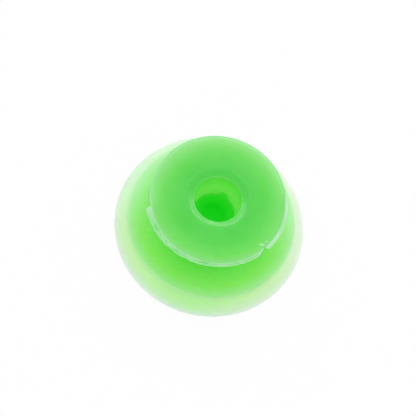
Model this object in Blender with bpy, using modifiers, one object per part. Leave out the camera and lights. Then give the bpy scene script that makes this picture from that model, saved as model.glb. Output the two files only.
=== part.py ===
"""Vibration dampener for a racket: a soft spool that sits between two strings.

The front flange is a shallow dome, the rear flange is smaller, and the strings lie in the groove
between them. Units are metres, +Z runs from the front flange to the rear flange, and the origin is
the centre of the flat land that the dome rests on.
"""

import math

import bpy

MM = 0.001

# Front flange
FRONT_DIAMETER = 22.0 * MM       # widest circle of the dome
DOME_HEIGHT = 2.7 * MM           # from the flat land to the widest circle
DOME_WIDTH = 5.0 * MM            # radial width of the curved front, land to widest circle
SHOULDER_HEIGHT = 2.3 * MM       # from the widest circle to the flat back face
SHOULDER_WIDTH = 1.34 * MM       # radial width of the shoulder, crease to widest circle
SHOULDER_SWEEP = math.radians(52)  # how far the shoulder turns before the crease stops it
CAP_WALL = 1.3 * MM              # wall of the cap under the disc
CAP_LIP = 0.4 * MM               # width of the cap's rim beside the crease
CAP_LEDGE = 0.9 * MM             # how far the cap's ledge reaches in under the disc's edge
DISC_EDGE = 0.3 * MM             # thickness of the disc's edge, which covers that ledge

# Neck
NECK_DIAMETER = 10.0 * MM
NECK_FILLET = 0.6 * MM           # radius where the neck runs into each flange
NECK_ROOT_HEIGHT = 0.8 * MM      # from the back face to the shoulder that the tube stands on
NECK_PLUG_HEIGHT = 0.5 * MM      # from that shoulder to the floor of the hole
NECK_TUBE_HEIGHT = 2.8 * MM      # from that shoulder to the underside of the rear flange
SOCKET_DEPTH = 0.8 * MM          # how deep each end of the neck is let into its flange

# Rear flange
REAR_DIAMETER = 15.4 * MM        # at the parting line of the mould
REAR_THICKNESS = 2.8 * MM
REAR_EDGE_WIDTH = 0.22 * MM      # radial width of the rounded edge above the parting line
PARTING_DROP = 0.25 * MM         # from the rear face down to the parting line
REAR_DRAFT = 0.45 * MM           # how far the side draws in below the parting line
REAR_UNDER_ROUND = 0.7 * MM      # radius of the edge beside the groove

# Blind hole in the rear
HOLE_MOUTH_DIAMETER = 5.5 * MM
HOLE_FLOOR_DIAMETER = 5.0 * MM
HOLE_LIP_WIDTH = 0.8 * MM        # radial width of the rounded lip round the hole
HOLE_LIP_DEPTH = 0.45 * MM       # from the rear face down to where the lip meets the bore
HOLE_LIP_SWEEP = math.radians(55)  # how far the lip turns before the bore stops it

# Fits and fineness
CLEARANCE = 0.3 * MM             # gap kept between pieces that touch
TURN_STEPS = 64                  # facets round the axis
ARC_STEPS = 6                    # facets along a quarter round
MERGE_DISTANCE = 0.001 * MM

# Heights of the faces that the pieces share
BACK_FACE_Z = DOME_HEIGHT + SHOULDER_HEIGHT
NECK_SHOULDER_Z = BACK_FACE_Z + NECK_ROOT_HEIGHT
HOLE_FLOOR_Z = NECK_SHOULDER_Z + NECK_PLUG_HEIGHT
UNDERSIDE_Z = NECK_SHOULDER_Z + NECK_TUBE_HEIGHT
REAR_FACE_Z = UNDERSIDE_Z + REAR_THICKNESS
PARTING_Z = REAR_FACE_Z - PARTING_DROP

# Radii that the pieces share
FRONT_RADIUS = FRONT_DIAMETER / 2
LAND_RADIUS = FRONT_RADIUS - DOME_WIDTH
CREASE_RADIUS = FRONT_RADIUS - SHOULDER_WIDTH
RECESS_RADIUS = CREASE_RADIUS - CAP_LIP
RECESS_WALL_RADIUS = RECESS_RADIUS - CAP_LEDGE
NECK_RADIUS = NECK_DIAMETER / 2
NECK_FLARE = min(NECK_FILLET, NECK_ROOT_HEIGHT, NECK_TUBE_HEIGHT - CLEARANCE)
NECK_END_RADIUS = NECK_RADIUS + NECK_FLARE
SOCKET_RADIUS = NECK_END_RADIUS + CLEARANCE
REAR_RADIUS = REAR_DIAMETER / 2

# Heights that the neck bends about
TILT_X_Z = (BACK_FACE_Z + NECK_SHOULDER_Z) / 2
TILT_Y_Z = (NECK_SHOULDER_Z + UNDERSIDE_Z) / 2

PALE_GREEN = (0.56, 0.88, 0.50)
LEAF_GREEN = (0.20, 0.74, 0.10)
DEEP_GREEN = (0.05, 0.60, 0.04)
FACE_GREEN = (0.13, 0.69, 0.11)


def arc(centre_r, centre_z, half_width, half_height, start, end):
    """Points (radius, height) along part of an ellipse, from one angle to another."""
    steps = max(2, round(ARC_STEPS * abs(end - start) / (math.pi / 2)))
    angles = [start + (end - start) * i / steps for i in range(steps + 1)]
    return [
        (centre_r + half_width * math.cos(a), centre_z + half_height * math.sin(a))
        for a in angles
    ]


def hole_radius(z):
    """The hole narrows evenly from its mouth to its floor."""
    depth_share = (REAR_FACE_Z - z) / (REAR_FACE_Z - HOLE_FLOOR_Z)
    mouth = HOLE_MOUTH_DIAMETER / 2
    return mouth + (HOLE_FLOOR_DIAMETER / 2 - mouth) * depth_share


def rubber(name, colour):
    """A soft, faintly glossy elastomer."""
    material = bpy.data.materials.new(name)
    material.use_nodes = True
    shader = material.node_tree.nodes["Principled BSDF"]
    shader.inputs["Base Color"].default_value = (*colour, 1.0)
    shader.inputs["Roughness"].default_value = 0.42
    shader.inputs["Metallic"].default_value = 0.0
    shader.inputs["Subsurface Weight"].default_value = 0.6
    shader.inputs["Subsurface Scale"].default_value = 1.5 * MM
    return material


def pivot(name, z, parent, collection):
    """An empty on the axis, at height z, that carries the pieces of one moving body."""
    empty = bpy.data.objects.new(name, None)
    empty.empty_display_size = NECK_RADIUS
    empty.parent = parent
    empty.location.z = z - (parent.matrix_world.translation.z if parent else 0.0)
    collection.objects.link(empty)
    bpy.context.view_layer.update()
    return empty


def turned(name, profile, closed, colour, carrier, collection):
    """A round piece from its profile, given as (radius, height) down the outer side."""
    base_z = carrier.matrix_world.translation.z
    points = [(r, 0.0, z - base_z) for r, z in profile]
    edges = [(i, i + 1) for i in range(len(points) - 1)]
    if closed:
        edges.append((len(points) - 1, 0))
    mesh = bpy.data.meshes.new(name)
    mesh.from_pydata(points, edges, [])
    mesh.materials.append(rubber(name, colour))
    piece = bpy.data.objects.new(name, mesh)
    piece.parent = carrier
    collection.objects.link(piece)
    screw = piece.modifiers.new("Turn", "SCREW")
    screw.axis = "Z"
    screw.angle = math.tau
    screw.steps = TURN_STEPS
    screw.render_steps = TURN_STEPS
    screw.use_merge_vertices = True
    screw.merge_threshold = MERGE_DISTANCE
    screw.use_smooth_shade = True
    return piece


def front_cap_profile():
    """A domed cup: its outside is the front of the dampener, its stepped recess holds the disc."""
    # the shoulder is part of an ellipse that stands upright at the widest circle
    shoulder_half_width = SHOULDER_WIDTH / (1 - math.cos(SHOULDER_SWEEP))
    shoulder_half_height = SHOULDER_HEIGHT / math.sin(SHOULDER_SWEEP)
    shoulder = arc(
        FRONT_RADIUS - shoulder_half_width,
        DOME_HEIGHT,
        shoulder_half_width,
        shoulder_half_height,
        SHOULDER_SWEEP,
        0.0,
    )
    dome = arc(LAND_RADIUS, DOME_HEIGHT, DOME_WIDTH, DOME_HEIGHT, 0.0, -math.pi / 2)
    recess = arc(
        LAND_RADIUS,
        DOME_HEIGHT,
        RECESS_WALL_RADIUS - LAND_RADIUS,
        DOME_HEIGHT - CAP_WALL,
        -math.pi / 2,
        0.0,
    )
    ledge_z = BACK_FACE_Z - DISC_EDGE - CLEARANCE
    return [
        (0.0, CAP_WALL),
        *recess,
        (RECESS_WALL_RADIUS, ledge_z),
        (RECESS_RADIUS, ledge_z),
        (RECESS_RADIUS, BACK_FACE_Z),
        *shoulder,
        *dome[1:],
        (0.0, 0.0),
    ]


def front_disc_profile():
    """A lens that fills the cap's recess, with a thin edge and a socket for the neck in its back."""
    edge = RECESS_RADIUS - CLEARANCE
    edge_z = BACK_FACE_Z - DISC_EDGE
    side = RECESS_WALL_RADIUS - CLEARANCE
    floor_z = CAP_WALL + CLEARANCE
    socket_z = BACK_FACE_Z - SOCKET_DEPTH
    belly = arc(
        LAND_RADIUS, DOME_HEIGHT, side - LAND_RADIUS, DOME_HEIGHT - floor_z, 0.0, -math.pi / 2
    )
    return [
        (0.0, socket_z),
        (SOCKET_RADIUS, socket_z),
        (SOCKET_RADIUS, BACK_FACE_Z),
        (edge, BACK_FACE_Z),
        (edge, edge_z),
        (side, edge_z),
        *belly,
        (0.0, floor_z),
    ]


def neck_root_profile():
    """A solid root that flares into the disc; the plug on its top is the floor of the hole."""
    foot_z = BACK_FACE_Z - SOCKET_DEPTH + CLEARANCE
    plug_radius = HOLE_FLOOR_DIAMETER / 2 - CLEARANCE
    flare = arc(
        NECK_END_RADIUS, BACK_FACE_Z + NECK_FLARE, NECK_FLARE, NECK_FLARE, math.pi, 1.5 * math.pi
    )
    return [
        (0.0, HOLE_FLOOR_Z),
        (plug_radius, HOLE_FLOOR_Z),
        (plug_radius, NECK_SHOULDER_Z),
        (NECK_RADIUS, NECK_SHOULDER_Z),
        *flare,
        (NECK_END_RADIUS, foot_z),
        (0.0, foot_z),
    ]


def neck_tube_profile():
    """A tube round the hole that stands on the root and flares into the rear flange."""
    foot_z = NECK_SHOULDER_Z + CLEARANCE
    top_z = UNDERSIDE_Z + SOCKET_DEPTH - CLEARANCE
    flare = arc(
        NECK_END_RADIUS, UNDERSIDE_Z - NECK_FLARE, NECK_FLARE, NECK_FLARE, math.pi / 2, math.pi
    )
    return [
        (NECK_END_RADIUS, top_z),
        *flare,
        (NECK_RADIUS, foot_z),
        (hole_radius(foot_z), foot_z),
        (hole_radius(top_z), top_z),
    ]


def rear_flange_profile():
    """A ring with a soft outer edge, a socket for the neck, and a rounded mouth to the hole."""
    socket_z = UNDERSIDE_Z + SOCKET_DEPTH
    lip_radius = hole_radius(REAR_FACE_Z - HOLE_LIP_DEPTH)
    foot_radius = REAR_RADIUS - REAR_DRAFT
    edge = arc(
        REAR_RADIUS - REAR_EDGE_WIDTH, PARTING_Z, REAR_EDGE_WIDTH, PARTING_DROP, math.pi / 2, 0.0
    )
    under = arc(
        foot_radius - REAR_UNDER_ROUND,
        UNDERSIDE_Z + REAR_UNDER_ROUND,
        REAR_UNDER_ROUND,
        REAR_UNDER_ROUND,
        0.0,
        -math.pi / 2,
    )
    # the lip is part of an ellipse that lies flat where it leaves the rear face
    lip_half_width = HOLE_LIP_WIDTH / math.sin(HOLE_LIP_SWEEP)
    lip_half_height = HOLE_LIP_DEPTH / (1 - math.cos(HOLE_LIP_SWEEP))
    lip = arc(
        lip_radius + HOLE_LIP_WIDTH,
        REAR_FACE_Z - lip_half_height,
        lip_half_width,
        lip_half_height,
        math.pi / 2 + HOLE_LIP_SWEEP,
        math.pi / 2,
    )
    return [
        *edge,
        *under,
        (SOCKET_RADIUS, UNDERSIDE_Z),
        (SOCKET_RADIUS, socket_z),
        (hole_radius(socket_z), socket_z),
        *lip,
    ]


def main():
    for old in list(bpy.data.objects):
        bpy.data.objects.remove(old, do_unlink=True)
    dampener = bpy.data.collections.new("vibration_dampener")
    bpy.context.scene.collection.children.link(dampener)

    # The front stays still; the neck bends about X, then about Y, then stretches along the axis
    front = pivot("front_body", 0.0, None, dampener)
    root = pivot("tilt_x_pivot", TILT_X_Z, front, dampener)
    tube = pivot("tilt_y_pivot", TILT_Y_Z, root, dampener)
    rear = pivot("stretch_slide", UNDERSIDE_Z, tube, dampener)

    turned("front_cap", front_cap_profile(), False, PALE_GREEN, front, dampener)
    turned("front_disc", front_disc_profile(), False, LEAF_GREEN, front, dampener)
    turned("neck_root", neck_root_profile(), False, DEEP_GREEN, root, dampener)
    turned("neck_tube", neck_tube_profile(), True, DEEP_GREEN, tube, dampener)
    turned("rear_flange", rear_flange_profile(), True, FACE_GREEN, rear, dampener)


main()
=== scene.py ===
"""A translucent spool-shaped vibration dampener for racket strings, on a white stage.

Laid out as an add-on and run as a script. Lengths are metres. +Z runs from the front flange to the
rear flange, and the camera looks at the rear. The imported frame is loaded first, so that the main
sizes come from it.
"""

import math

import bmesh
import bpy
from bpy.props import FloatProperty, FloatVectorProperty, PointerProperty
from bpy.types import Operator, Panel, PropertyGroup
from mathutils import Matrix, Quaternion, Vector, noise


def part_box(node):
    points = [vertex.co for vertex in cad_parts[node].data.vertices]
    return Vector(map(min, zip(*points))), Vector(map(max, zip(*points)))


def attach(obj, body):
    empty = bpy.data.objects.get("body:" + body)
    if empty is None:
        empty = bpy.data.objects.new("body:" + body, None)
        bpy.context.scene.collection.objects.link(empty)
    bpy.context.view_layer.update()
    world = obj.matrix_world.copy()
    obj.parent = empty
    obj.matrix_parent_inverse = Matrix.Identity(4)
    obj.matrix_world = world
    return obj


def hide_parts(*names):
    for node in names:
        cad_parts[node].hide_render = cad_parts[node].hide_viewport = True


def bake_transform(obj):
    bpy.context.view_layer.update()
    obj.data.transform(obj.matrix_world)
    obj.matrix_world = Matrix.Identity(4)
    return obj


bl_info = {
    "name": "String Dampener",
    "version": (1, 0, 0),
    "blender": (4, 5, 0),
    "location": "View3D > Sidebar > Dampener",
    "description": "Builds a soft spool that damps racket strings, and a white stage for it",
    "category": "Object",
}

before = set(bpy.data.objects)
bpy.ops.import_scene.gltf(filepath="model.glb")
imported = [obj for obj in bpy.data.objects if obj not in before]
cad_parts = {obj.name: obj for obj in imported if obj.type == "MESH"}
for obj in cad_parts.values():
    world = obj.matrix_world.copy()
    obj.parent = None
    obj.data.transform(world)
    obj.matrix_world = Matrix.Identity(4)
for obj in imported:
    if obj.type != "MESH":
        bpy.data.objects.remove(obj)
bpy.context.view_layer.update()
CAP_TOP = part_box("front_cap")[1]
ROOT_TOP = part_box("neck_root")[1]
REAR_LOW, REAR_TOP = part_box("rear_flange")

MM = 0.001
QUARTER = math.pi / 2

# Fineness of the meshes
TURN_STEPS = 160
ARC_STEPS = 16
NECK_STEPS = 10
MERGE_DISTANCE = 0.0005 * MM
SEAM = 0.005 * MM  # gap between pieces that meet inside the neck
SHARP_ANGLE = math.radians(28)

# How the elastomer takes light
DEPTH_RADIUS = (1.0, 2.0, 0.8)  # how far red, green and blue go in, as shares of the scale
DEPTH_SCALE = 3.0 * MM
REFRACTION = 1.5
GRAIN_STRENGTH = 0.25
HAZE_ROUGHNESS = 0.12           # how much rougher the haze makes the surface

# Sizes of the patterns in the finishes
CLOUD_SIZE = 2.6 * MM
GRAIN_SIZE = 0.22 * MM
GRAIN_DEPTH = 0.012 * MM
SCUFF_SIZE = 0.5 * MM
STREAK_SIZE = 0.4 * MM
STREAK_LEVELS = (0.6, 0.8)  # noise at which a streak on the disc begins, and is full

# How fast a pattern runs along X, Y and Z: a number below 1 draws it out
DISC_DRAW = (0.15, 1, 1)
NECK_DRAW = (1, 1, 0.2)
SIDE_DRAW = (1, 1, 0.25)

# How much of a second colour the finishes take
HAZE_SHARE = 0.10       # pale haze on every surface
# The rim's far colours are painted light and shade: paler far right, greener far left
RIM_FAR_LIGHT_SHARE = 0.55    # colours of the far left and far right on the rim
# Painted light: white on the disc's far side
DISC_FAR_LIGHT_SHARE = 0.36   # white on the far side of the disc
DISC_STREAKS = 0.12     # pale flow streaks on the disc
NECK_STREAKS = 0.20     # pale streaks on the neck
SIDE_STREAKS = 0.15     # pale drag marks on the side of the rear flange
FLOOR_LIT = 0.20        # the wall's green on the edge of the floor
TONGUE_SHARE = 0.90     # the floor's green in the tongue
WALL_FOOT_SHARE = 0.75  # the floor's green along the foot of the wall
CHIP_SHARE = 0.40       # white in the chips

# Directions towards the sides of the part that take painted light, as weights of X and Y:
# paler on the disc, paler and less green on the rear face, a painted highlight on its edge
DISC_LIT_SIDE = (-0.15, 0.95)
FACE_LIT_SIDE = (-0.26, 0.97)
EDGE_HIGHLIGHT_SIDE = (-0.9, 0.45)

# Where one colour gives way to another across the part, as shares of a radius
# The rim's sides, far right and far left carry painted light and shade
RIM_ASIDE = (0.0, 0.8)       # from the rim's middle to its sides
RIM_RIGHT = (-0.5, 0.5)      # from its left to its right
RIM_FAR = (-0.75, 0.35)      # from its near side to its far side
RIM_FAR_LEFT = (-0.3, 0.45)  # the same for the green of its far left
# Painted light on the disc's pale side
DISC_FAR = (-0.4, 0.3)       # from the disc's near side to its pale side
# Painted highlight on the rear face's edge
EDGE_FAR = (-0.2, 0.3)       # the same for the edge of the rear face
TONGUE_FAR = (0.0, 0.5)      # from the hole's middle to its far wall

# Where colours change on the way out from the axis, as shares of a radius or a width
DOME_MIDDLE = 0.3   # end of the deep middle, on the land
DOME_OUTER = 0.6    # the pale outer part, on the curved front
DOME_RIM = 0.2      # width of the curved front that takes the rim's colours
DISC_MIDDLE = 0.68  # the disc's middle colour, from the neck to the crease
DISC_OUTER = 0.95   # where the pale side of the disc is at its palest
FLOOR_MIDDLE = 0.5  # end of the floor's deep middle
FLOOR_EDGE = 0.85   # the floor's edge colour
FLOOR_RIM = 0.88    # start of the light on the floor's edge
LIP_DEEP = 0.75     # end of the lip's deep part
FACE_MIDDLE = 0.73  # the rear face's middle colour
FACE_OUTER = 0.89   # its outer colour
# The pale line on the rear face's edge is a painted highlight
EDGE_HIGHLIGHT_WIDTH = 0.3     # width of the pale line on its edge

# Heights between which the far left of the shoulder turns from pale to green, going down: painted
# shade there
LEFT_PALE_Z = 4.3 * MM
LEFT_GREEN_Z = 3.5 * MM

# Height over which the rim's green fades into the disc's at the crease
CREASE_BLUR = 0.25 * MM

# Height over which the disc's green fades out up the neck
NECK_FADE = 1.2 * MM

# Heights over the hole's floor at which its wall changes colour
WALL_FOOT = 0.6 * MM
WALL_BRIGHT = 1.5 * MM
WALL_TOP = 3.2 * MM
WALL_RIM = 4.3 * MM

# The floor's green climbs the hole's far wall in a blunt tongue
TONGUE_X = 0.52 * MM
TONGUE_HALF_WIDTH = 0.70 * MM
TONGUE_HEIGHT = 1.35 * MM
TONGUE_TAPER = 0.6         # how much it narrows as it climbs
TONGUE_SIDES = (1.5, 0.7)  # shares of its half width at which it ends, and is full
TONGUE_TIP = (1.2, 0.6)    # the same for its height

# Width of the painted highlight, a pale line where the lip meets the bore
LIP_HIGHLIGHT_WIDTH = 0.10 * MM

# Chips in the rear face's edge: (angle past the nick in the flash, distance from the rim)
CHIPS = ((math.radians(0.4), 0.34 * MM), (math.radians(5.6), 0.18 * MM))
CHIP_REACH = 0.22 * MM
CHIP_CORE = 0.04 * MM
CHIP_RAGGED = 0.15 * MM
CHIP_WEIGHTS = (0.4, 1, 1)  # how much X, Y and Z count, so that a chip is long in X

# How pale the flash is, from 0, its green, to 1, its white
FLASH_PALE = 0.34
FLASH_GAPS = 0.34    # less in the gaps between its two edges
FLASH_FLECKS = 0.16  # more in the flecks
FLASH_THIN = 0.52    # more towards the end where it dies out
FLASH_START = 0.20   # more at its square end

# Where the flash changes, as shares of its width or its length
FLASH_COVER = 0.275           # width that the flange's green covers, halfway along
FLASH_BLUR = 0.15             # width over which that green ends
GAP_REACH = (0.34, 0.06)      # widths from its middle line at which a gap ends, and is full
GAP_COUNTS = (14, 0.5, 1)     # how many gaps lie along and across it
GAP_LEVELS = (0.4, 0.6)       # noise at which a gap begins, and is full
FLECK_COUNTS = (40, 3, 1)     # the same two for the flecks
FLECK_LEVELS = (0.4, 0.7)
START_REACH = (0.055, 0.015)  # lengths at which the square end's white ends, and is full
THIN_REACH = (0.35, 1.0)      # lengths at which the thin end's white begins, and is full

# The photograph's view, fitted to the circles of the part
IMAGE_SIZE = 416
CREASE_CENTRE_PIXEL = (211.457, 218.965)
FOCAL_PIXELS = 2264.7
SENSOR_WIDTH = 36.0
CAMERA_DISTANCE = 0.260
CAMERA_ELEVATION = math.radians(66.786)
CAMERA_ROLL = math.radians(18.119)
CAMERA_CLIP = (0.01, 10.0)


def size(label, description, metres):
    """A length that a user may change."""
    return FloatProperty(
        name=label, description=description, default=metres, min=0.0, precision=5, unit="LENGTH"
    )


def angle(label, description, degrees):
    """An angle that a user may change."""
    return FloatProperty(
        name=label, description=description, default=math.radians(degrees), subtype="ANGLE"
    )


def linear(level):
    """An 8-bit display level as a linear value."""
    share = level / 255
    return share / 12.92 if share <= 0.04045 else ((share + 0.055) / 1.055) ** 2.4


def colour(label, description, *levels):
    """A colour that a user may change, written as 8-bit display levels."""
    return FloatVectorProperty(
        name=label,
        description=description,
        default=[linear(level) for level in levels],
        size=3,
        min=0.0,
        max=1.0,
        subtype="COLOR",
    )


class DampenerSizes(PropertyGroup):
    """Sizes of the spool."""

    front_radius: size("Front radius", "Widest circle of the front flange", CAP_TOP.x)
    dome_height: size("Dome height", "From the front land to the widest circle", 2.7 * MM)
    dome_width: size("Dome width", "Radial width of the curved front", 5.0 * MM)
    back_face_z: size("Back face height", "Flat ring of the front flange", CAP_TOP.z)
    shoulder_width: size("Shoulder width", "From the crease to the widest circle", 1.34 * MM)
    shoulder_sweep: angle("Shoulder sweep", "How far the shoulder turns to the crease", 52)
    neck_radius: size("Neck radius", "Radius between the flanges", 5.0 * MM)
    neck_fillet: size("Neck fillet", "Round where the neck meets a flange", 0.6 * MM)
    neck_split_z: size("Neck split height", "Where the neck's two pieces meet", 7.8 * MM)
    bend_start_z: size("Bend start height", "Where the front starts to bend", 4.8 * MM)
    floor_z: size("Hole floor height", "Floor of the blind hole", ROOT_TOP.z)
    floor_radius: size("Hole floor radius", "Radius of the hole at its floor", 2.5 * MM)
    mouth_radius: size("Hole mouth radius", "Radius of the hole at the rear face", 2.75 * MM)
    lip_width: size("Lip width", "Radial width of the sloping lip", 0.75 * MM)
    lip_ease: size("Lip ease", "Radial width of the round between lip and face", 0.17 * MM)
    lip_slope: angle("Lip slope", "Mean slope of the lip", 28.4)
    lip_curve: angle("Lip curve", "How far the lip's slope turns on its way to the bore", 8)
    underside_z: size("Underside height", "Groove side of the rear flange", REAR_LOW.z)
    rear_face_z: size("Rear face height", "Face that looks at the camera", REAR_TOP.z)
    rear_radius: size("Rear radius", "Rear flange at its parting line", REAR_TOP.x)
    edge_width: size("Edge width", "Rounded edge above the parting line", 0.22 * MM)
    parting_drop: size("Parting drop", "From the rear face to the parting line", 0.25 * MM)
    rear_draft: size("Rear draft", "How far the side draws in below that line", 0.45 * MM)
    under_round: size("Underside round", "Round of the edge beside the groove", 0.7 * MM)
    flash_start: angle("Flash start", "Square end of the long strip of flash", 206)
    flash_notch: angle("Flash notch", "Nick between the two strips", 328.6)
    flash_end: angle("Flash end", "Where the short strip dies out", 386)
    flash_wide: size("Flash wide end", "Width of the long strip at its square end", 0.61 * MM)
    flash_narrow: size("Flash width", "Usual width of the flash", 0.42 * MM)


class DampenerColours(PropertyGroup):
    """Colours of the elastomer, from thin and pale to thick and deep."""

    dome_deep: colour("Dome, middle", "Middle of the front, over the neck", 70, 202, 60)
    dome_green: colour("Dome, land", "Edge of the flat land at the front", 104, 212, 84)
    dome_pale: colour("Dome, outer", "Curved front where it starts to thin", 158, 230, 146)
    rim_white: colour("Rim, widest", "Thin widest circle of the front flange", 215, 248, 222)
    rim_pale: colour("Rim, middle", "Middle of the shoulder", 189, 241, 175)
    rim_green: colour("Rim, crease", "Shoulder beside the crease", 177, 237, 149)
    # Painted light and shade: the rim paler beside the neck and on the far right, greener on the far
    # left
    side_white_painted_light: colour("Rim side, widest", "Widest circle, left and right of the neck", 222, 246, 226)
    side_pale_painted_light: colour("Rim side, middle", "Middle of the shoulder there", 210, 240, 200)
    side_green_painted_light: colour("Rim side, crease", "Shoulder beside the crease there", 196, 237, 168)
    rim_left_painted_shade: colour("Rim, far left", "Foot of the shoulder on the far left", 158, 214, 166)
    rim_right_painted_light: colour("Rim, far right", "Shoulder on the far right", 238, 251, 238)
    disc_deep: colour("Disc, neck", "Back face beside the neck", 112, 242, 75)
    disc_mid: colour("Disc, middle", "Middle of the back face", 150, 237, 104)
    disc_soft: colour("Disc, crease", "Back face beside the crease", 174, 229, 162)
    neck_green: colour("Neck", "Outside of the neck", 150, 240, 120)
    floor_deep: colour("Hole floor", "Middle of the hole's floor", 1, 230, 20)
    floor_edge: colour("Hole floor edge", "Floor beside the wall", 62, 245, 57)
    # Painted light: the wall's colours are far paler than the elastomer, to make up for the shade in
    # the hole
    wall_low: colour("Hole wall, low", "Wall beside the floor", 195, 255, 152)
    wall_bright: colour("Hole wall, middle", "Brightest part of the wall", 194, 255, 146)
    wall_top: colour("Hole wall, upper", "Upper part of the wall", 140, 246, 101)
    wall_rim: colour("Hole wall, rim", "Wall just under the lip", 108, 236, 76)
    # Painted light: an emission on the hole's wall, as if light came through it
    wall_painted_glow: colour("Hole wall, glow", "Light that comes through the wall", 28, 70, 20)
    lip_deep: colour("Lip", "Rounded lip of the hole", 34, 207, 4)
    # Painted highlight where the lip meets the bore
    lip_highlight: colour("Lip line", "Thin line where the lip meets the bore", 96, 216, 84)
    face_deep: colour("Rear face, lip", "Rear face round the hole", 65, 202, 57)
    face_mid: colour("Rear face, middle", "Middle of the rear face", 74, 205, 55)
    face_pale: colour("Rear face, outer", "Outer part of the rear face", 102, 211, 73)
    face_edge: colour("Rear face, edge", "Edge above the parting line", 126, 217, 107)
    # Painted light and shade: the far side of the rear face paler and less green
    far_mid: colour("Far face, middle", "Middle of the rear face, far side", 99, 207, 75)
    far_pale: colour("Far face, outer", "Outer part of the rear face, far side", 135, 202, 117)
    far_edge: colour("Far face, edge", "Edge above the parting line, far side", 131, 180, 141)
    edge_green: colour("Rear edge", "Rounded edge of the rear face", 122, 222, 112)
    # Painted highlight along the edge's left side
    edge_highlight: colour("Rear edge, pale", "The same edge where it shows as a pale line", 148, 226, 152)
    under_pale: colour("Rear side", "Side and underside of the rear flange", 176, 242, 158)
    flash_green: colour("Flash, green", "Greenest part of the flash", 112, 218, 106)
    flash_white: colour("Flash, white", "Palest part of the flash", 196, 238, 198)
    bloom: colour("Bloom", "Pale haze and scuffs on the elastomer", 214, 246, 216)


class Value:
    """A number that varies over a surface; arithmetic on it adds Math nodes."""

    def __init__(self, nodes, socket):
        self.nodes = nodes
        self.socket = socket

    def __add__(self, other):
        return self.nodes.calculate("ADD", self, other)

    def __sub__(self, other):
        return self.nodes.calculate("SUBTRACT", self, other)

    def __rsub__(self, other):
        return self.nodes.calculate("SUBTRACT", other, self)

    def __mul__(self, other):
        return self.nodes.calculate("MULTIPLY", self, other)

    def __truediv__(self, other):
        return self.nodes.calculate("DIVIDE", self, other)

    def __abs__(self):
        return self.nodes.calculate("ABSOLUTE", self)

    __radd__ = __add__
    __rmul__ = __mul__


class Nodes:
    """The nodes of one material or world."""

    def __init__(self, tree):
        self.tree = tree

    def add(self, kind, settings=None, inputs=None, output=0):
        """One node: its settings first, then the values or links of its sockets."""
        node = self.tree.nodes.new(kind)
        for name, value in (settings or {}).items():
            if name == "stops":
                self.set_stops(node.color_ramp, value)
            else:
                setattr(node, name, value)
        for name, value in (inputs or {}).items():
            self.feed(node.inputs[name], value)
        return Value(self, node.outputs[output])

    def feed(self, socket, value):
        """Links a varying value to a socket, or sets a plain one on it."""
        if isinstance(value, Value):
            self.tree.links.new(value.socket, socket)
        else:
            socket.default_value = value

    def set_stops(self, ramp, stops):
        """Puts (position, colour) stops on a colour ramp."""
        ramp.elements[0].position, ramp.elements[0].color = stops[0]
        ramp.elements[1].position, ramp.elements[1].color = stops[-1]
        for position, shade in stops[1:-1]:
            ramp.elements.new(position).color = shade

    def calculate(self, operation, *values):
        """A Math node."""
        return self.add("ShaderNodeMath", {"operation": operation}, dict(enumerate(values)))

    def place(self):
        """Object coordinates."""
        return self.add("ShaderNodeTexCoord", output="Object")

    def axis(self, letter):
        """One of the three object coordinates."""
        return self.add("ShaderNodeSeparateXYZ", inputs={"Vector": self.place()}, output=letter)

    def radius(self):
        """Distance from the spool's axis."""
        flat = {"operation": "MULTIPLY"}
        across = self.add("ShaderNodeVectorMath", flat, {0: self.place(), 1: (1, 1, 0)})
        return self.add("ShaderNodeVectorMath", {"operation": "LENGTH"}, {0: across}, "Value")

    def lean(self, across, back):
        """How far a point lies towards one side: its X and Y, each times its weight."""
        return self.axis("X") * across + self.axis("Y") * back

    def distance(self, point, weights):
        """Distance from a point, in which each axis counts by its weight."""
        weighed = {0: self.place(), 1: weights}
        place = self.add("ShaderNodeVectorMath", {"operation": "MULTIPLY"}, weighed)
        ends = {0: place, 1: Vector(point) * Vector(weights)}
        return self.add("ShaderNodeVectorMath", {"operation": "DISTANCE"}, ends, "Value")

    def cloud(self, feature, detail=2.0, stretch=(1, 1, 1), place=None):
        """Soft noise from 0 to 1 whose features have about that size."""
        drawn = {"Vector": place or self.place(), "Scale": stretch}
        scaled = self.add("ShaderNodeMapping", {}, drawn)
        inputs = {"Vector": scaled, "Scale": 1 / feature, "Detail": detail}
        return self.add("ShaderNodeTexNoise", {}, inputs, "Fac")

    def rise(self, value, low, high):
        """0 below low, 1 above high, and smooth between them; low may be the larger."""
        inputs = {"Value": value, "From Min": low, "From Max": high}
        return self.add("ShaderNodeMapRange", {"interpolation_type": "SMOOTHSTEP"}, inputs)

    def rise_along(self, value, whole, shares):
        """The same between two shares of a whole length."""
        return self.rise(value, shares[0] * whole, shares[1] * whole)

    def mix(self, share, first, second):
        """A colour between two colours."""
        inputs = {0: share, 6: self.solid(first), 7: self.solid(second)}
        return self.add("ShaderNodeMix", {"data_type": "RGBA"}, inputs, 2)

    def solid(self, shade):
        """A plain colour with the fourth number that a socket holds."""
        return shade if isinstance(shade, Value) else (*shade, 1.0)

    def graded(self, value, *stops):
        """A colour that follows a length: stops are (length, colour), in rising order."""
        low, high = stops[0][0], stops[-1][0]
        marks = [((at - low) / (high - low), (*shade, 1.0)) for at, shade in stops]
        share = (value - low) / (high - low)
        return self.add("ShaderNodeValToRGB", {"stops": marks}, {"Fac": share}, "Color")


class Finish(Nodes):
    """A material with one Principled shader."""

    def __init__(self, name):
        self.material = bpy.data.materials.new(name)
        self.material.use_nodes = True
        super().__init__(self.material.node_tree)
        self.shader = self.tree.nodes["Principled BSDF"]

    def set(self, **values):
        """Sets or links the shader's sockets; a socket's spaces are written as underscores."""
        for name, value in values.items():
            self.feed(self.shader.inputs[name.replace("_", " ")], value)


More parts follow.
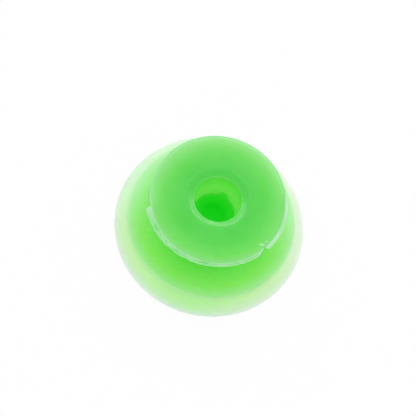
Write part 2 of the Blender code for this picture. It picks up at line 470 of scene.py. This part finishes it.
def elastomer(name, tint, bloom, depth=1.0, gloss=0.5, roughness=0.28, glow=None):
    """Soft moulded elastomer: graded green under a faint haze, with a fine satin grain.

    tint gives the colour, depth is the share of light that goes into the material, and glow gives
    painted light: an emission that stands in for light coming through the body from behind the
    surface.
    """
    finish = Finish(name)
    haze = finish.cloud(CLOUD_SIZE, 3.0)
    grain = finish.cloud(GRAIN_SIZE)
    finish.set(
        Base_Color=finish.mix(haze * HAZE_SHARE, tint(finish), bloom),
        Roughness=roughness + haze * HAZE_ROUGHNESS,
        Normal=finish.add(
            "ShaderNodeBump",
            {},
            {"Strength": GRAIN_STRENGTH, "Distance": GRAIN_DEPTH, "Height": grain},
        ),
        Subsurface_Weight=depth,
        Subsurface_Radius=DEPTH_RADIUS,
        Subsurface_Scale=DEPTH_SCALE,
        IOR=REFRACTION,
        Specular_IOR_Level=gloss,
        Emission_Color=glow(finish) if glow else (0.0, 0.0, 0.0, 1.0),
        Emission_Strength=1.0 if glow else 0.0,
    )
    return finish.material


def rim_painted_light_and_shade(finish, sizes, paint, near, sides, low):
    """A rim colour with painted light and shade: paler to the sides and the far right, and greener to
    the far left.

    near and sides are the colours on the near side and beside the neck. low is 1 where the far
    left is at its greenest, in painted shade.
    """
    across, back = finish.axis("X"), finish.axis("Y")
    rim = sizes.front_radius
    aside = finish.rise_along(abs(across), rim, RIM_ASIDE)
    right = finish.rise_along(across, rim, RIM_RIGHT)
    far = finish.rise_along(back, rim, RIM_FAR)
    green = low * finish.rise_along(back, rim, RIM_FAR_LEFT)
    left = finish.mix(green, paint.rim_white, paint.rim_left_painted_shade)
    return finish.mix(
        far * RIM_FAR_LIGHT_SHARE,
        finish.mix(aside, near, sides),
        finish.mix(right, left, paint.rim_right_painted_light),
    )


def rim_finish(sizes, paint):
    """Front flange outside the crease, palest where it thins to its widest circle, with painted light
    and shade round its sides.
    """

    def tint(finish):
        height = finish.axis("Z")
        widest, top = sizes.dome_height, sizes.back_face_z
        heights = (widest, (widest + top) / 2, top - CREASE_BLUR, top)
        near = (paint.rim_white, paint.rim_pale, paint.rim_green, paint.disc_soft)
        sides = (paint.side_white_painted_light, paint.side_pale_painted_light, paint.side_green_painted_light, paint.disc_soft)
        return rim_painted_light_and_shade(
            finish,
            sizes,
            paint,
            finish.graded(height, *zip(heights, near)),
            finish.graded(height, *zip(heights, sides)),
            finish.rise(height, LEFT_PALE_Z, LEFT_GREEN_Z),
        )

    return elastomer("pale_rim", tint, paint.bloom)


def dome_finish(sizes, paint):
    """Front of the part: deep green in the middle, where it is thickest, and pale at the rim."""

    def tint(finish):
        rim = sizes.front_radius
        land = rim - sizes.dome_width
        stops = [
            (DOME_MIDDLE * land, paint.dome_deep),
            (land, paint.dome_green),
            (land + DOME_OUTER * sizes.dome_width, paint.dome_pale),
            (rim, paint.rim_white),
        ]
        radius = finish.radius()
        # The widest circle takes the rim's painted light and shade
        widest = rim_painted_light_and_shade(finish, sizes, paint, paint.rim_white, paint.side_white_painted_light, 1.0)
        outer = finish.rise(radius, rim - DOME_RIM * sizes.dome_width, rim)
        return finish.mix(outer, finish.graded(radius, *stops), widest)

    return elastomer("front_dome", tint, paint.bloom)


def disc_finish(sizes, paint):
    """Flat back of the front flange, deeper green towards the neck, and whiter towards its far side
    as painted light.
    """

    def tint(finish):
        crease = sizes.front_radius - sizes.shoulder_width
        foot = sizes.neck_radius + sizes.neck_fillet
        stops = [
            (foot, paint.disc_deep),
            (foot + DISC_MIDDLE * (crease - foot), paint.disc_mid),
            (crease, paint.disc_soft),
        ]
        radius = finish.radius()
        disc = finish.graded(radius, *stops)
        # Painted light: the disc turns whiter towards its far side
        far = finish.rise_along(finish.lean(*DISC_LIT_SIDE), crease, DISC_FAR)
        outer = finish.rise(radius, foot, DISC_OUTER * crease)
        disc = finish.mix(far * outer * DISC_FAR_LIGHT_SHARE, disc, paint.rim_white)
        streaks = finish.rise(finish.cloud(STREAK_SIZE, 1.0, DISC_DRAW), *STREAK_LEVELS)
        return finish.mix(streaks * DISC_STREAKS, disc, paint.bloom)

    return elastomer("green_disc", tint, paint.bloom)


def neck_finish(sizes, paint):
    """Outside of the neck, with the disc's deeper green where it flares out to the disc."""

    def tint(finish):
        foot = sizes.back_face_z
        flare = finish.rise(finish.axis("Z"), foot + NECK_FADE, foot)
        neck = finish.mix(flare, paint.neck_green, paint.disc_deep)
        streaks = finish.cloud(SCUFF_SIZE, 2.0, NECK_DRAW) * (1 - flare)
        return finish.mix(streaks * NECK_STREAKS, neck, paint.bloom)

    return elastomer("neck_green", tint, paint.bloom, depth=0.0)


def floor_finish(sizes, paint):
    """Floor of the hole, where the most material lies behind the surface."""

    def tint(finish):
        edge = sizes.floor_radius
        stops = [
            (0.0, paint.floor_deep),
            (FLOOR_MIDDLE * edge, paint.floor_deep),
            (FLOOR_EDGE * edge, paint.floor_edge),
        ]
        floor = finish.graded(finish.radius(), *stops)
        lit = finish.rise(finish.radius(), FLOOR_RIM * edge, edge)
        return finish.mix(lit * FLOOR_LIT, floor, paint.wall_low)

    return elastomer("hole_floor", tint, paint.floor_deep, depth=0.0, gloss=0.15)


def wall_finish(sizes, paint):
    """Wall of the hole, with a deep tongue of the floor's green that climbs its far side.
    Its colours are painted light, far paler than the elastomer to make up for the hole's shade.
    """

    def tint(finish):
        height = finish.axis("Z")
        stops = [
            (sizes.floor_z, paint.wall_low),
            (sizes.floor_z + WALL_BRIGHT, paint.wall_bright),
            (sizes.floor_z + WALL_TOP, paint.wall_top),
            (sizes.floor_z + WALL_RIM, paint.wall_rim),
        ]
        flank = abs(finish.axis("X") - TONGUE_X) / TONGUE_HALF_WIDTH
        climb = (height - sizes.floor_z) / TONGUE_HEIGHT
        far = finish.rise_along(finish.axis("Y"), sizes.floor_radius, TONGUE_FAR)
        narrow = finish.rise(flank + climb * TONGUE_TAPER, *TONGUE_SIDES)
        tongue = narrow * finish.rise(climb, *TONGUE_TIP) * far
        wall = finish.mix(tongue * TONGUE_SHARE, finish.graded(height, *stops), paint.floor_edge)
        foot = finish.rise(height, sizes.floor_z + WALL_FOOT, sizes.floor_z)
        return finish.mix(foot * WALL_FOOT_SHARE, wall, paint.floor_edge)

    # Painted light: the wall glows, most strongly low down
    def glow(finish):
        stops = [
            (sizes.floor_z, paint.wall_painted_glow),
            (sizes.floor_z + WALL_BRIGHT, paint.wall_painted_glow),
            (sizes.rear_face_z, (0.0, 0.0, 0.0)),
        ]
        return finish.graded(finish.axis("Z"), *stops)

    return elastomer("hole_wall", tint, paint.bloom, depth=0.0, gloss=0.3, glow=glow)


def lip_finish(sizes, paint):
    """Lip of the hole: deep, glossy, with a painted highlight, a thin pale line, where it meets the
    bore.
    """

    def tint(finish):
        bore = sizes.mouth_radius
        stops = [
            (bore, paint.lip_highlight),
            (bore + LIP_HIGHLIGHT_WIDTH, paint.lip_deep),
            (bore + LIP_DEEP * sizes.lip_width, paint.lip_deep),
            (bore + sizes.lip_width + sizes.lip_ease, paint.face_deep),
        ]
        return finish.graded(finish.radius(), *stops)

    return elastomer("hole_lip", tint, paint.lip_deep, depth=0.0, gloss=1.0, roughness=0.17)


def face_finish(sizes, paint):
    """Rear face, deeper over the neck and paler over the free rim, chipped beside the notch.
    Painted light and shade make its far side paler and less green.
    """

    def tint(finish):
        rim, radius = sizes.rear_radius, finish.radius()
        inner = sizes.mouth_radius + sizes.lip_width + sizes.lip_ease
        marks = (inner, FACE_MIDDLE * rim, FACE_OUTER * rim, rim)
        near = (paint.face_deep, paint.face_mid, paint.face_pale, paint.face_edge)
        far = (paint.face_deep, paint.far_mid, paint.far_pale, paint.far_edge)
        # Painted light and shade: the near colours give way to the far side's
        face = finish.mix(
            finish.rise(finish.lean(*FACE_LIT_SIDE), -rim, rim),
            finish.graded(radius, *zip(marks, near)),
            finish.graded(radius, *zip(marks, far)),
        )
        ragged = (finish.cloud(SCUFF_SIZE) - 0.5) * CHIP_RAGGED
        for turn, inset in CHIPS:
            azimuth = sizes.flash_notch + turn
            reach = rim - inset
            place = (reach * math.cos(azimuth), reach * math.sin(azimuth), sizes.rear_face_z)
            away = finish.distance(place, CHIP_WEIGHTS) + ragged
            chip = finish.rise(away, CHIP_REACH, CHIP_CORE)
            face = finish.mix(chip * CHIP_SHARE, face, paint.bloom)
        return face

    return elastomer("rear_face", tint, paint.bloom)


def edge_finish(sizes, paint):
    """Rounded edge of the rear face, with a painted highlight, a pale line, along its left side."""

    def tint(finish):
        rim, width = sizes.rear_radius, sizes.edge_width
        side = finish.rise_along(finish.lean(*EDGE_HIGHLIGHT_SIDE), rim, EDGE_FAR)
        outer = finish.rise(finish.radius(), rim - width, rim - EDGE_HIGHLIGHT_WIDTH * width)
        return finish.mix(side * outer, paint.edge_green, paint.edge_highlight)

    return elastomer("rear_edge", tint, paint.bloom, depth=0.0)


def side_finish(paint):
    """Side and underside of the rear flange."""

    def tint(finish):
        drag = finish.cloud(SCUFF_SIZE, 2.0, SIDE_DRAW)
        return finish.mix(drag * SIDE_STREAKS, paint.under_pale, paint.bloom)

    return elastomer("rear_side", tint, paint.bloom)


def flash_finish(paint):
    """Mould flash: a thin film, whiter as it narrows, greener here and there between its edges.

    Its mesh says how far a point lies across the film, from its root to its free edge, and how far
    along the two strips, each from 0 to 1.
    """

    def tint(finish):
        across = finish.add("ShaderNodeAttribute", {"attribute_name": "across"}, output="Fac")
        along = finish.add("ShaderNodeAttribute", {"attribute_name": "along"}, output="Fac")
        strip = finish.add("ShaderNodeCombineXYZ", {}, {"X": along, "Y": across})
        covered = along * (1 - along) * (4 * FLASH_COVER)
        bare = finish.rise(across - covered, 0.0, FLASH_BLUR)
        middle = finish.rise(abs(across - covered * 0.5 - 0.5), *GAP_REACH)
        gaps = finish.rise(finish.cloud(1.0, 2.0, GAP_COUNTS, strip), *GAP_LEVELS)
        flecks = finish.rise(finish.cloud(1.0, 2.0, FLECK_COUNTS, strip), *FLECK_LEVELS)
        start = finish.rise(along, *START_REACH)
        thin = finish.rise(along, *THIN_REACH)
        pale = (
            FLASH_PALE
            - middle * gaps * FLASH_GAPS
            + flecks * FLASH_FLECKS
            + thin * FLASH_THIN
            + start * FLASH_START
        )
        film = finish.mix(pale, paint.flash_green, paint.flash_white)
        return finish.mix(bare, paint.edge_green, film)

    return elastomer("flash_film", tint, paint.bloom, depth=0.0, gloss=0.4, roughness=0.35)


def arc(centre_r, centre_z, half_width, half_height, start, end):
    """Points (radius, height) along part of an ellipse, from one angle to another."""
    steps = max(3, round(ARC_STEPS * abs(end - start) / QUARTER))
    angles = [start + (end - start) * i / steps for i in range(steps + 1)]
    return [
        (centre_r + half_width * math.cos(a), centre_z + half_height * math.sin(a)) for a in angles
    ]


def line(first, last):
    """Points from one (radius, height) to another, close enough together to bend."""
    return [
        tuple(a + (b - a) * i / NECK_STEPS for a, b in zip(first, last))
        for i in range(NECK_STEPS + 1)
    ]


def hole_radius(sizes, z):
    """The hole narrows evenly from its mouth to its floor."""
    depth_share = (sizes.rear_face_z - z) / (sizes.rear_face_z - sizes.floor_z)
    return sizes.mouth_radius + (sizes.floor_radius - sizes.mouth_radius) * depth_share


def finished(name, mesh, materials):
    """Closes off a bmesh as a piece at the origin, with its faces pointing out."""
    bmesh.ops.remove_doubles(mesh, verts=mesh.verts, dist=MERGE_DISTANCE)
    bmesh.ops.recalc_face_normals(mesh, faces=mesh.faces)
    for face in mesh.faces:
        face.smooth = True
    data = bpy.data.meshes.new(name)
    mesh.to_mesh(data)
    mesh.free()
    data.set_sharp_from_angle(angle=SHARP_ANGLE)
    for material in materials:
        data.materials.append(material)
    piece = bpy.data.objects.new(name, data)
    bpy.context.scene.collection.objects.link(piece)
    return piece


def spun(points, slot):
    """A mesh turned about Z from points (radius, height), with one material slot."""
    mesh = bmesh.new()
    corners = [mesh.verts.new((radius, 0.0, height)) for radius, height in points]
    edges = [mesh.edges.new(pair) for pair in zip(corners, corners[1:])]
    bmesh.ops.spin(
        mesh,
        geom=corners + edges,
        cent=(0, 0, 0),
        axis=(0, 0, 1),
        angle=math.tau,
        steps=TURN_STEPS,
        use_merge=True,
    )
    for face in mesh.faces:
        face.material_index = slot
    data = bpy.data.meshes.new("stretch")
    mesh.to_mesh(data)
    mesh.free()
    return data


def turned(name, stretches):
    """A closed shape turned about Z. Each stretch is (material, [(radius, height), ...])."""
    mesh = bmesh.new()
    materials = list(dict.fromkeys(material for material, points in stretches))
    for material, points in stretches:
        stretch = spun(points, materials.index(material))
        mesh.from_mesh(stretch)
        bpy.data.meshes.remove(stretch)
    return finished(name, mesh, materials)


def on_axis(z):
    """A point on the spool's axis."""
    return (0.0, 0.0, z)


class DAMPENER_OT_front(Operator):
    """Front flange with its flat back, the foot of the neck and the floor of the hole"""

    bl_idname = "dampener.front"
    bl_label = "Front Flange"

    def execute(self, context):
        sizes = context.scene.dampener_sizes
        paint = context.scene.dampener_colours
        rim = rim_finish(sizes, paint)
        dome = dome_finish(sizes, paint)
        disc = disc_finish(sizes, paint)
        neck = neck_finish(sizes, paint)
        floor = floor_finish(sizes, paint)
        back, fillet = sizes.back_face_z, sizes.neck_fillet
        foot = sizes.neck_radius + fillet
        crease = (sizes.front_radius - sizes.shoulder_width, back)
        half_width = sizes.shoulder_width / (1 - math.cos(sizes.shoulder_sweep))
        half_height = (back - sizes.dome_height) / math.sin(sizes.shoulder_sweep)
        land = sizes.front_radius - sizes.dome_width
        stretches = [
            (floor, [(0.0, sizes.floor_z), (sizes.floor_radius, sizes.floor_z)]),
            (neck, [(sizes.floor_radius, sizes.floor_z), (sizes.neck_radius, sizes.floor_z)]),
            (neck, line((sizes.neck_radius, sizes.floor_z), (sizes.neck_radius, back + fillet))),
            (neck, arc(foot, back + fillet, fillet, fillet, math.pi, math.pi + QUARTER)),
            (disc, [(foot, back), crease]),
            (rim, arc(sizes.front_radius - half_width, sizes.dome_height,
                      half_width, half_height, sizes.shoulder_sweep, 0.0)),
            (dome, arc(land, sizes.dome_height, sizes.dome_width, sizes.dome_height, 0.0, -QUARTER)),
            (dome, line((land, 0.0), (0.0, 0.0))),
        ]
        piece = turned("spool_front", stretches)
        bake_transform(piece)
        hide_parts("front_cap", "front_disc", "neck_root")
        return {"FINISHED"}


class DAMPENER_OT_neck(Operator):
    """Ring of the neck round the lower part of the hole"""

    bl_idname = "dampener.neck"
    bl_label = "Neck Ring"

    def execute(self, context):
        sizes = context.scene.dampener_sizes
        paint = context.scene.dampener_colours
        low, high = sizes.floor_z + SEAM, sizes.neck_split_z
        inner_low = (hole_radius(sizes, low), low)
        inner_high = (hole_radius(sizes, high), high)
        outer_low = (sizes.neck_radius, low)
        outer_high = (sizes.neck_radius, high)
        wall = wall_finish(sizes, paint)
        neck = neck_finish(sizes, paint)
        stretches = [
            (wall, line(inner_low, inner_high)),
            (neck, [inner_high, outer_high]),
            (neck, line(outer_high, outer_low)),
            (neck, [outer_low, inner_low]),
        ]
        piece = turned("spool_neck", stretches)
        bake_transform(piece)
        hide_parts("neck_tube")
        return {"FINISHED"}


class DAMPENER_OT_rear(Operator):
    """Rear flange with the head of the neck and the mouth of the hole"""

    bl_idname = "dampener.rear"
    bl_label = "Rear Flange"

    def execute(self, context):
        sizes = context.scene.dampener_sizes
        paint = context.scene.dampener_colours
        wall = wall_finish(sizes, paint)
        lip = lip_finish(sizes, paint)
        face = face_finish(sizes, paint)
        edge = edge_finish(sizes, paint)
        side = side_finish(paint)
        neck = neck_finish(sizes, paint)
        top, under = sizes.rear_face_z, sizes.underside_z
        low = sizes.neck_split_z + SEAM
        inner_low = (hole_radius(sizes, low), low)
        outer_low = (sizes.neck_radius, low)
        steep = sizes.lip_slope + sizes.lip_curve / 2
        shallow = sizes.lip_slope - sizes.lip_curve / 2
        ease_drop = sizes.lip_ease * math.tan(shallow / 2)
        ease_round = sizes.lip_ease / math.sin(shallow)
        bore_z = top - ease_drop - sizes.lip_width * math.tan(sizes.lip_slope)
        bore = (hole_radius(sizes, bore_z), bore_z)
        lip_round = sizes.lip_width / (math.sin(steep) - math.sin(shallow))
        lip_r = bore[0] + sizes.lip_width + sizes.lip_ease
        parting = top - sizes.parting_drop
        edge_r = sizes.rear_radius - sizes.edge_width
        foot = sizes.rear_radius - sizes.rear_draft
        seat_r = foot - sizes.under_round
        fillet = sizes.neck_fillet
        flare = sizes.neck_radius + fillet
        stretches = [
            (wall, line(inner_low, bore)),
            (lip, arc(bore[0] + lip_round * math.sin(steep), bore_z - lip_round * math.cos(steep),
                      lip_round, lip_round, QUARTER + steep, QUARTER + shallow)),
            (lip, arc(lip_r, top - ease_round, ease_round, ease_round, QUARTER + shallow, QUARTER)),
            (face, line((lip_r, top), (edge_r, top))),
            (edge, arc(edge_r, parting, sizes.edge_width, sizes.parting_drop, QUARTER, 0.0)),
            (side, [(sizes.rear_radius, parting), (foot, under + sizes.under_round)]),
            (side, arc(seat_r, under + sizes.under_round,
                       sizes.under_round, sizes.under_round, 0.0, -QUARTER)),
            (side, [(seat_r, under), (flare, under)]),
            (neck, arc(flare, under - fillet, fillet, fillet, QUARTER, math.pi)),
            (neck, [(sizes.neck_radius, under - fillet), outer_low]),
            (neck, [outer_low, inner_low]),
        ]
        piece = turned("spool_rear", stretches)
        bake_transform(piece)
        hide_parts("rear_flange")
        return {"FINISHED"}


class DAMPENER_OT_flash(Operator):
    """Two ragged strips of mould flash along the rear flange's parting line"""

    bl_idname = "dampener.flash"
    bl_label = "Mould Flash"

    # The film's section: (share of its width, height over the parting line), round its edge
    SECTION = (
        (0.0, -0.10 * MM),
        (0.4, -0.06 * MM),
        (0.9, -0.04 * MM),
        (1.0, 0.0),
        (0.92, 0.05 * MM),
        (0.7, 0.10 * MM),
        (0.35, 0.17 * MM),
        (0.0, 0.24 * MM),
    )
    ROOT = 0.14 * MM           # how far the film is let into the flange
    STEP = math.radians(0.5)
    NICK = math.radians(0.6)   # half of the gap between the strips
    TAPER = math.radians(7.5)  # how fast the long strip narrows at the nick
    TIP = 0.1                  # share of its width that it has left there
    SLANT = math.radians(2)    # how much later the free edge of a strip starts than its root
    WIDE_UNTIL = 0.25          # share of the long strip that keeps its widest width
    NARROW_FROM = 0.9          # share after which it has the usual width
    # Waves of the free edge: (waves per radian, where the noise is read, depth)
    TEARS = ((12, 0, 0.08 * MM), (32, 5, 0.09 * MM))
    CURL = (6, 9, 0.08 * MM)
    SLACK = 0.01               # angle by which a point may lie before its strip's start

    def execute(self, context):
        sizes = context.scene.dampener_sizes
        film = flash_finish(context.scene.dampener_colours)
        widest, usual = sizes.flash_wide, sizes.flash_narrow
        turn = sizes.flash_notch - sizes.flash_start

        def long_width(azimuth):
            past = (azimuth - sizes.flash_start) / turn - self.WIDE_UNTIL
            share = min(1.0, max(0.0, past) / (self.NARROW_FROM - self.WIDE_UNTIL))
            end = min(1.0, (sizes.flash_notch - azimuth) / self.TAPER)
            return (widest + (usual - widest) * share) * (self.TIP + (1 - self.TIP) * end)

        def short_width(azimuth):
            share = (sizes.flash_end - azimuth) / (sizes.flash_end - sizes.flash_notch)
            return usual * max(0.0, 1 - (1 - share) ** 3)

        long_end = sizes.flash_notch - self.NICK
        short_start = sizes.flash_notch + self.NICK
        self.strip(sizes, "flash_long", sizes.flash_start, long_end, long_width, film)
        self.strip(sizes, "flash_short", short_start, sizes.flash_end, short_width, film)
        return {"FINISHED"}

    def wave(self, azimuth, waves, lane, depth):
        """How far a wave of the free edge reaches at an angle."""
        return noise.noise((azimuth * waves, lane, 0)) * depth

    def strip(self, sizes, name, start, end, width, film):
        """Spins the film's section along the rim, then tears its free edge."""
        mesh = bmesh.new()
        across = mesh.verts.layers.float.new("across")
        along = mesh.verts.layers.float.new("along")
        parting = sizes.rear_face_z - sizes.parting_drop
        corners = []
        for share, height in self.SECTION:
            corner = mesh.verts.new((sizes.rear_radius + share * MM, 0.0, parting + height))
            corner[across] = share
            corners.append(corner)
        section = mesh.faces.new(corners)
        to_start = Matrix.Rotation(start, 3, "Z")
        bmesh.ops.rotate(mesh, verts=mesh.verts, cent=(0, 0, 0), matrix=to_start)
        bmesh.ops.spin(
            mesh,
            geom=[section, *section.edges, *section.verts],
            cent=(0, 0, 0),
            axis=(0, 0, 1),
            angle=end - start,
            steps=round((end - start) / self.STEP),
        )
        bmesh.ops.holes_fill(mesh, edges=mesh.edges, sides=len(corners))
        for corner in mesh.verts:
            share = corner[across]
            turn = math.atan2(corner.co.y, corner.co.x) - start
            turn = (turn + self.SLACK) % math.tau - self.SLACK
            azimuth = start + turn + self.SLANT * share * max(0.0, 1 - turn / (2 * self.SLANT))
            corner[along] = (azimuth - sizes.flash_start) / (sizes.flash_end - sizes.flash_start)
            tear = sum(self.wave(azimuth, *each) for each in self.TEARS)
            reach = max(0.0, width(azimuth) + tear) * share
            radius = sizes.rear_radius + reach - self.ROOT * (1 - share)
            corner.co.x = radius * math.cos(azimuth)
            corner.co.y = radius * math.sin(azimuth)
            corner.co.z += self.wave(azimuth, *self.CURL) * share
        piece = finished(name, mesh, [film])
        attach(piece, "rear")


class DAMPENER_OT_stage(Operator):
    """White floor, soft light and the camera at the photograph's angle"""

    bl_idname = "dampener.stage"
    bl_label = "Stage"

    FLOOR_SIZE = 4.0
    FLOOR_WHITE = 0.9
    SHADOW_SHARE = 0.05  # how much of the floor's own shading the camera sees
    WORLD_STRENGTH = 0.97
    LAMP_TARGET = Vector((0.0, 0.0, 6.0 * MM))
    LAMP_DISTANCE = 0.5
    LAMPS = (
        # name, azimuth, elevation, roll, watts, width, height
        ("left_strip", 124, 24, 19, 0.30, 0.75, 0.065),
        ("right_strip", 68, 19, -15, 0.18, 0.5, 0.065),
    )

    def execute(self, context):
        context.scene.view_settings.view_transform = "Standard"
        self.add_floor()
        self.add_world(context)
        for lamp in self.LAMPS:
            self.add_lamp(*lamp)
        self.add_camera(context)
        return {"FINISHED"}

    def seen_directly(self, nodes):
        """1 for rays that show the background itself, 0 for those that light the part."""
        rays = [
            nodes.add("ShaderNodeLightPath", output=f"Is {kind} Ray")
            for kind in ("Camera", "Glossy", "Transmission")
        ]
        return nodes.calculate("MINIMUM", rays[0] + rays[1] + rays[2], 1.0)

    def add_floor(self):
        """White floor, whose own shading shows only as a faint shadow."""
        mesh = bmesh.new()
        bmesh.ops.create_grid(mesh, x_segments=1, y_segments=1, size=self.FLOOR_SIZE / 2)
        data = bpy.data.meshes.new("stage_floor")
        mesh.to_mesh(data)
        mesh.free()
        floor = bpy.data.objects.new("stage_floor", data)
        bpy.context.scene.collection.objects.link(floor)
        material = bpy.data.materials.new("white_floor")
        material.use_nodes = True
        nodes = Nodes(material.node_tree)
        material.node_tree.nodes.remove(material.node_tree.nodes["Principled BSDF"])
        white = (self.FLOOR_WHITE,) * 3 + (1.0,)
        lit = nodes.add("ShaderNodeBsdfDiffuse", {}, {"Color": white})
        glow = nodes.add("ShaderNodeEmission", {}, {"Color": (1, 1, 1, 1), "Strength": 1.0})
        share = self.seen_directly(nodes) * (1 - self.SHADOW_SHARE)
        shown = nodes.add("ShaderNodeMixShader", {}, {0: share, 1: lit, 2: glow})
        nodes.feed(material.node_tree.nodes["Material Output"].inputs["Surface"], shown)
        data.materials.append(material)

    def add_world(self, context):
        """White surroundings that light the part a little less than they show."""
        world = bpy.data.worlds.new("white_world")
        world.use_nodes = True
        nodes = Nodes(world.node_tree)
        background = world.node_tree.nodes["Background"]
        background.inputs["Color"].default_value = (1, 1, 1, 1)
        shown = self.seen_directly(nodes)
        nodes.feed(
            background.inputs["Strength"],
            shown * (1 - self.WORLD_STRENGTH) + self.WORLD_STRENGTH,
        )
        context.scene.world = world

    def add_lamp(self, name, azimuth, elevation, roll, watts, width, height):
        """A soft strip of light that looks at the part; its angles are degrees."""
        turn, rise = math.radians(azimuth), math.radians(elevation)
        flat = math.cos(rise)
        away = Vector((math.cos(turn) * flat, math.sin(turn) * flat, math.sin(rise)))
        lamp = bpy.data.lights.new(name, "AREA")
        lamp.shape = "RECTANGLE"
        lamp.energy = watts
        lamp.size = width
        lamp.size_y = height
        holder = bpy.data.objects.new(name, lamp)
        holder.location = self.LAMP_TARGET + away * self.LAMP_DISTANCE
        tilt = Quaternion((0.0, 0.0, 1.0), math.radians(roll))
        holder.rotation_euler = (away.to_track_quat("Z", "Y") @ tilt).to_euler()
        bpy.context.scene.collection.objects.link(holder)

    def add_camera(self, context):
        """Camera that puts the crease's centre on its pixel of the photograph."""
        sizes = context.scene.dampener_sizes
        data = bpy.data.cameras.new("camera")
        data.sensor_width = SENSOR_WIDTH
        data.lens = FOCAL_PIXELS * SENSOR_WIDTH / IMAGE_SIZE
        data.clip_start, data.clip_end = CAMERA_CLIP
        camera = bpy.data.objects.new("camera", data)
        back = Vector((0.0, -math.cos(CAMERA_ELEVATION), math.sin(CAMERA_ELEVATION)))
        level = Vector((1.0, 0.0, 0.0))
        upright = back.cross(level)
        right = level * math.cos(CAMERA_ROLL) + upright * math.sin(CAMERA_ROLL)
        up = upright * math.cos(CAMERA_ROLL) - level * math.sin(CAMERA_ROLL)
        pixel = CAMERA_DISTANCE / FOCAL_PIXELS
        aside = (CREASE_CENTRE_PIXEL[0] - IMAGE_SIZE / 2) * pixel
        above = (IMAGE_SIZE / 2 - CREASE_CENTRE_PIXEL[1]) * pixel
        aim = Vector(on_axis(sizes.back_face_z)) - right * aside - up * above
        pose = Matrix((right, up, back)).transposed().to_4x4()
        pose.translation = aim + back * CAMERA_DISTANCE
        camera.matrix_world = pose
        context.scene.collection.objects.link(camera)
        context.scene.camera = camera


class DAMPENER_PT_sidebar(Panel):
    """Lists the pieces of the dampener and its sizes and colours"""

    bl_label = "String Dampener"
    bl_idname = "DAMPENER_PT_sidebar"
    bl_space_type = "VIEW_3D"
    bl_region_type = "UI"
    bl_category = "Dampener"

    def draw(self, context):
        for operator in OPERATORS:
            self.layout.operator(operator.bl_idname)
        for group in (context.scene.dampener_sizes, context.scene.dampener_colours):
            box = self.layout.box()
            for name in group.bl_rna.properties.keys():
                if name not in {"rna_type", "name"}:
                    box.prop(group, name)


OPERATORS = (
    DAMPENER_OT_front,
    DAMPENER_OT_neck,
    DAMPENER_OT_rear,
    DAMPENER_OT_flash,
    DAMPENER_OT_stage,
)
CLASSES = (DampenerSizes, DampenerColours, *OPERATORS, DAMPENER_PT_sidebar)


def register():
    for each in CLASSES:
        bpy.utils.register_class(each)
    bpy.types.Scene.dampener_sizes = PointerProperty(type=DampenerSizes)
    bpy.types.Scene.dampener_colours = PointerProperty(type=DampenerColours)


def unregister():
    del bpy.types.Scene.dampener_colours
    del bpy.types.Scene.dampener_sizes
    for each in reversed(CLASSES):
        bpy.utils.unregister_class(each)


def main():
    """Builds the dampener and its stage."""
    register()
    bpy.ops.dampener.front()
    bpy.ops.dampener.neck()
    bpy.ops.dampener.rear()
    bpy.ops.dampener.flash()
    bpy.ops.dampener.stage()


if __name__ == "__main__":
    main()
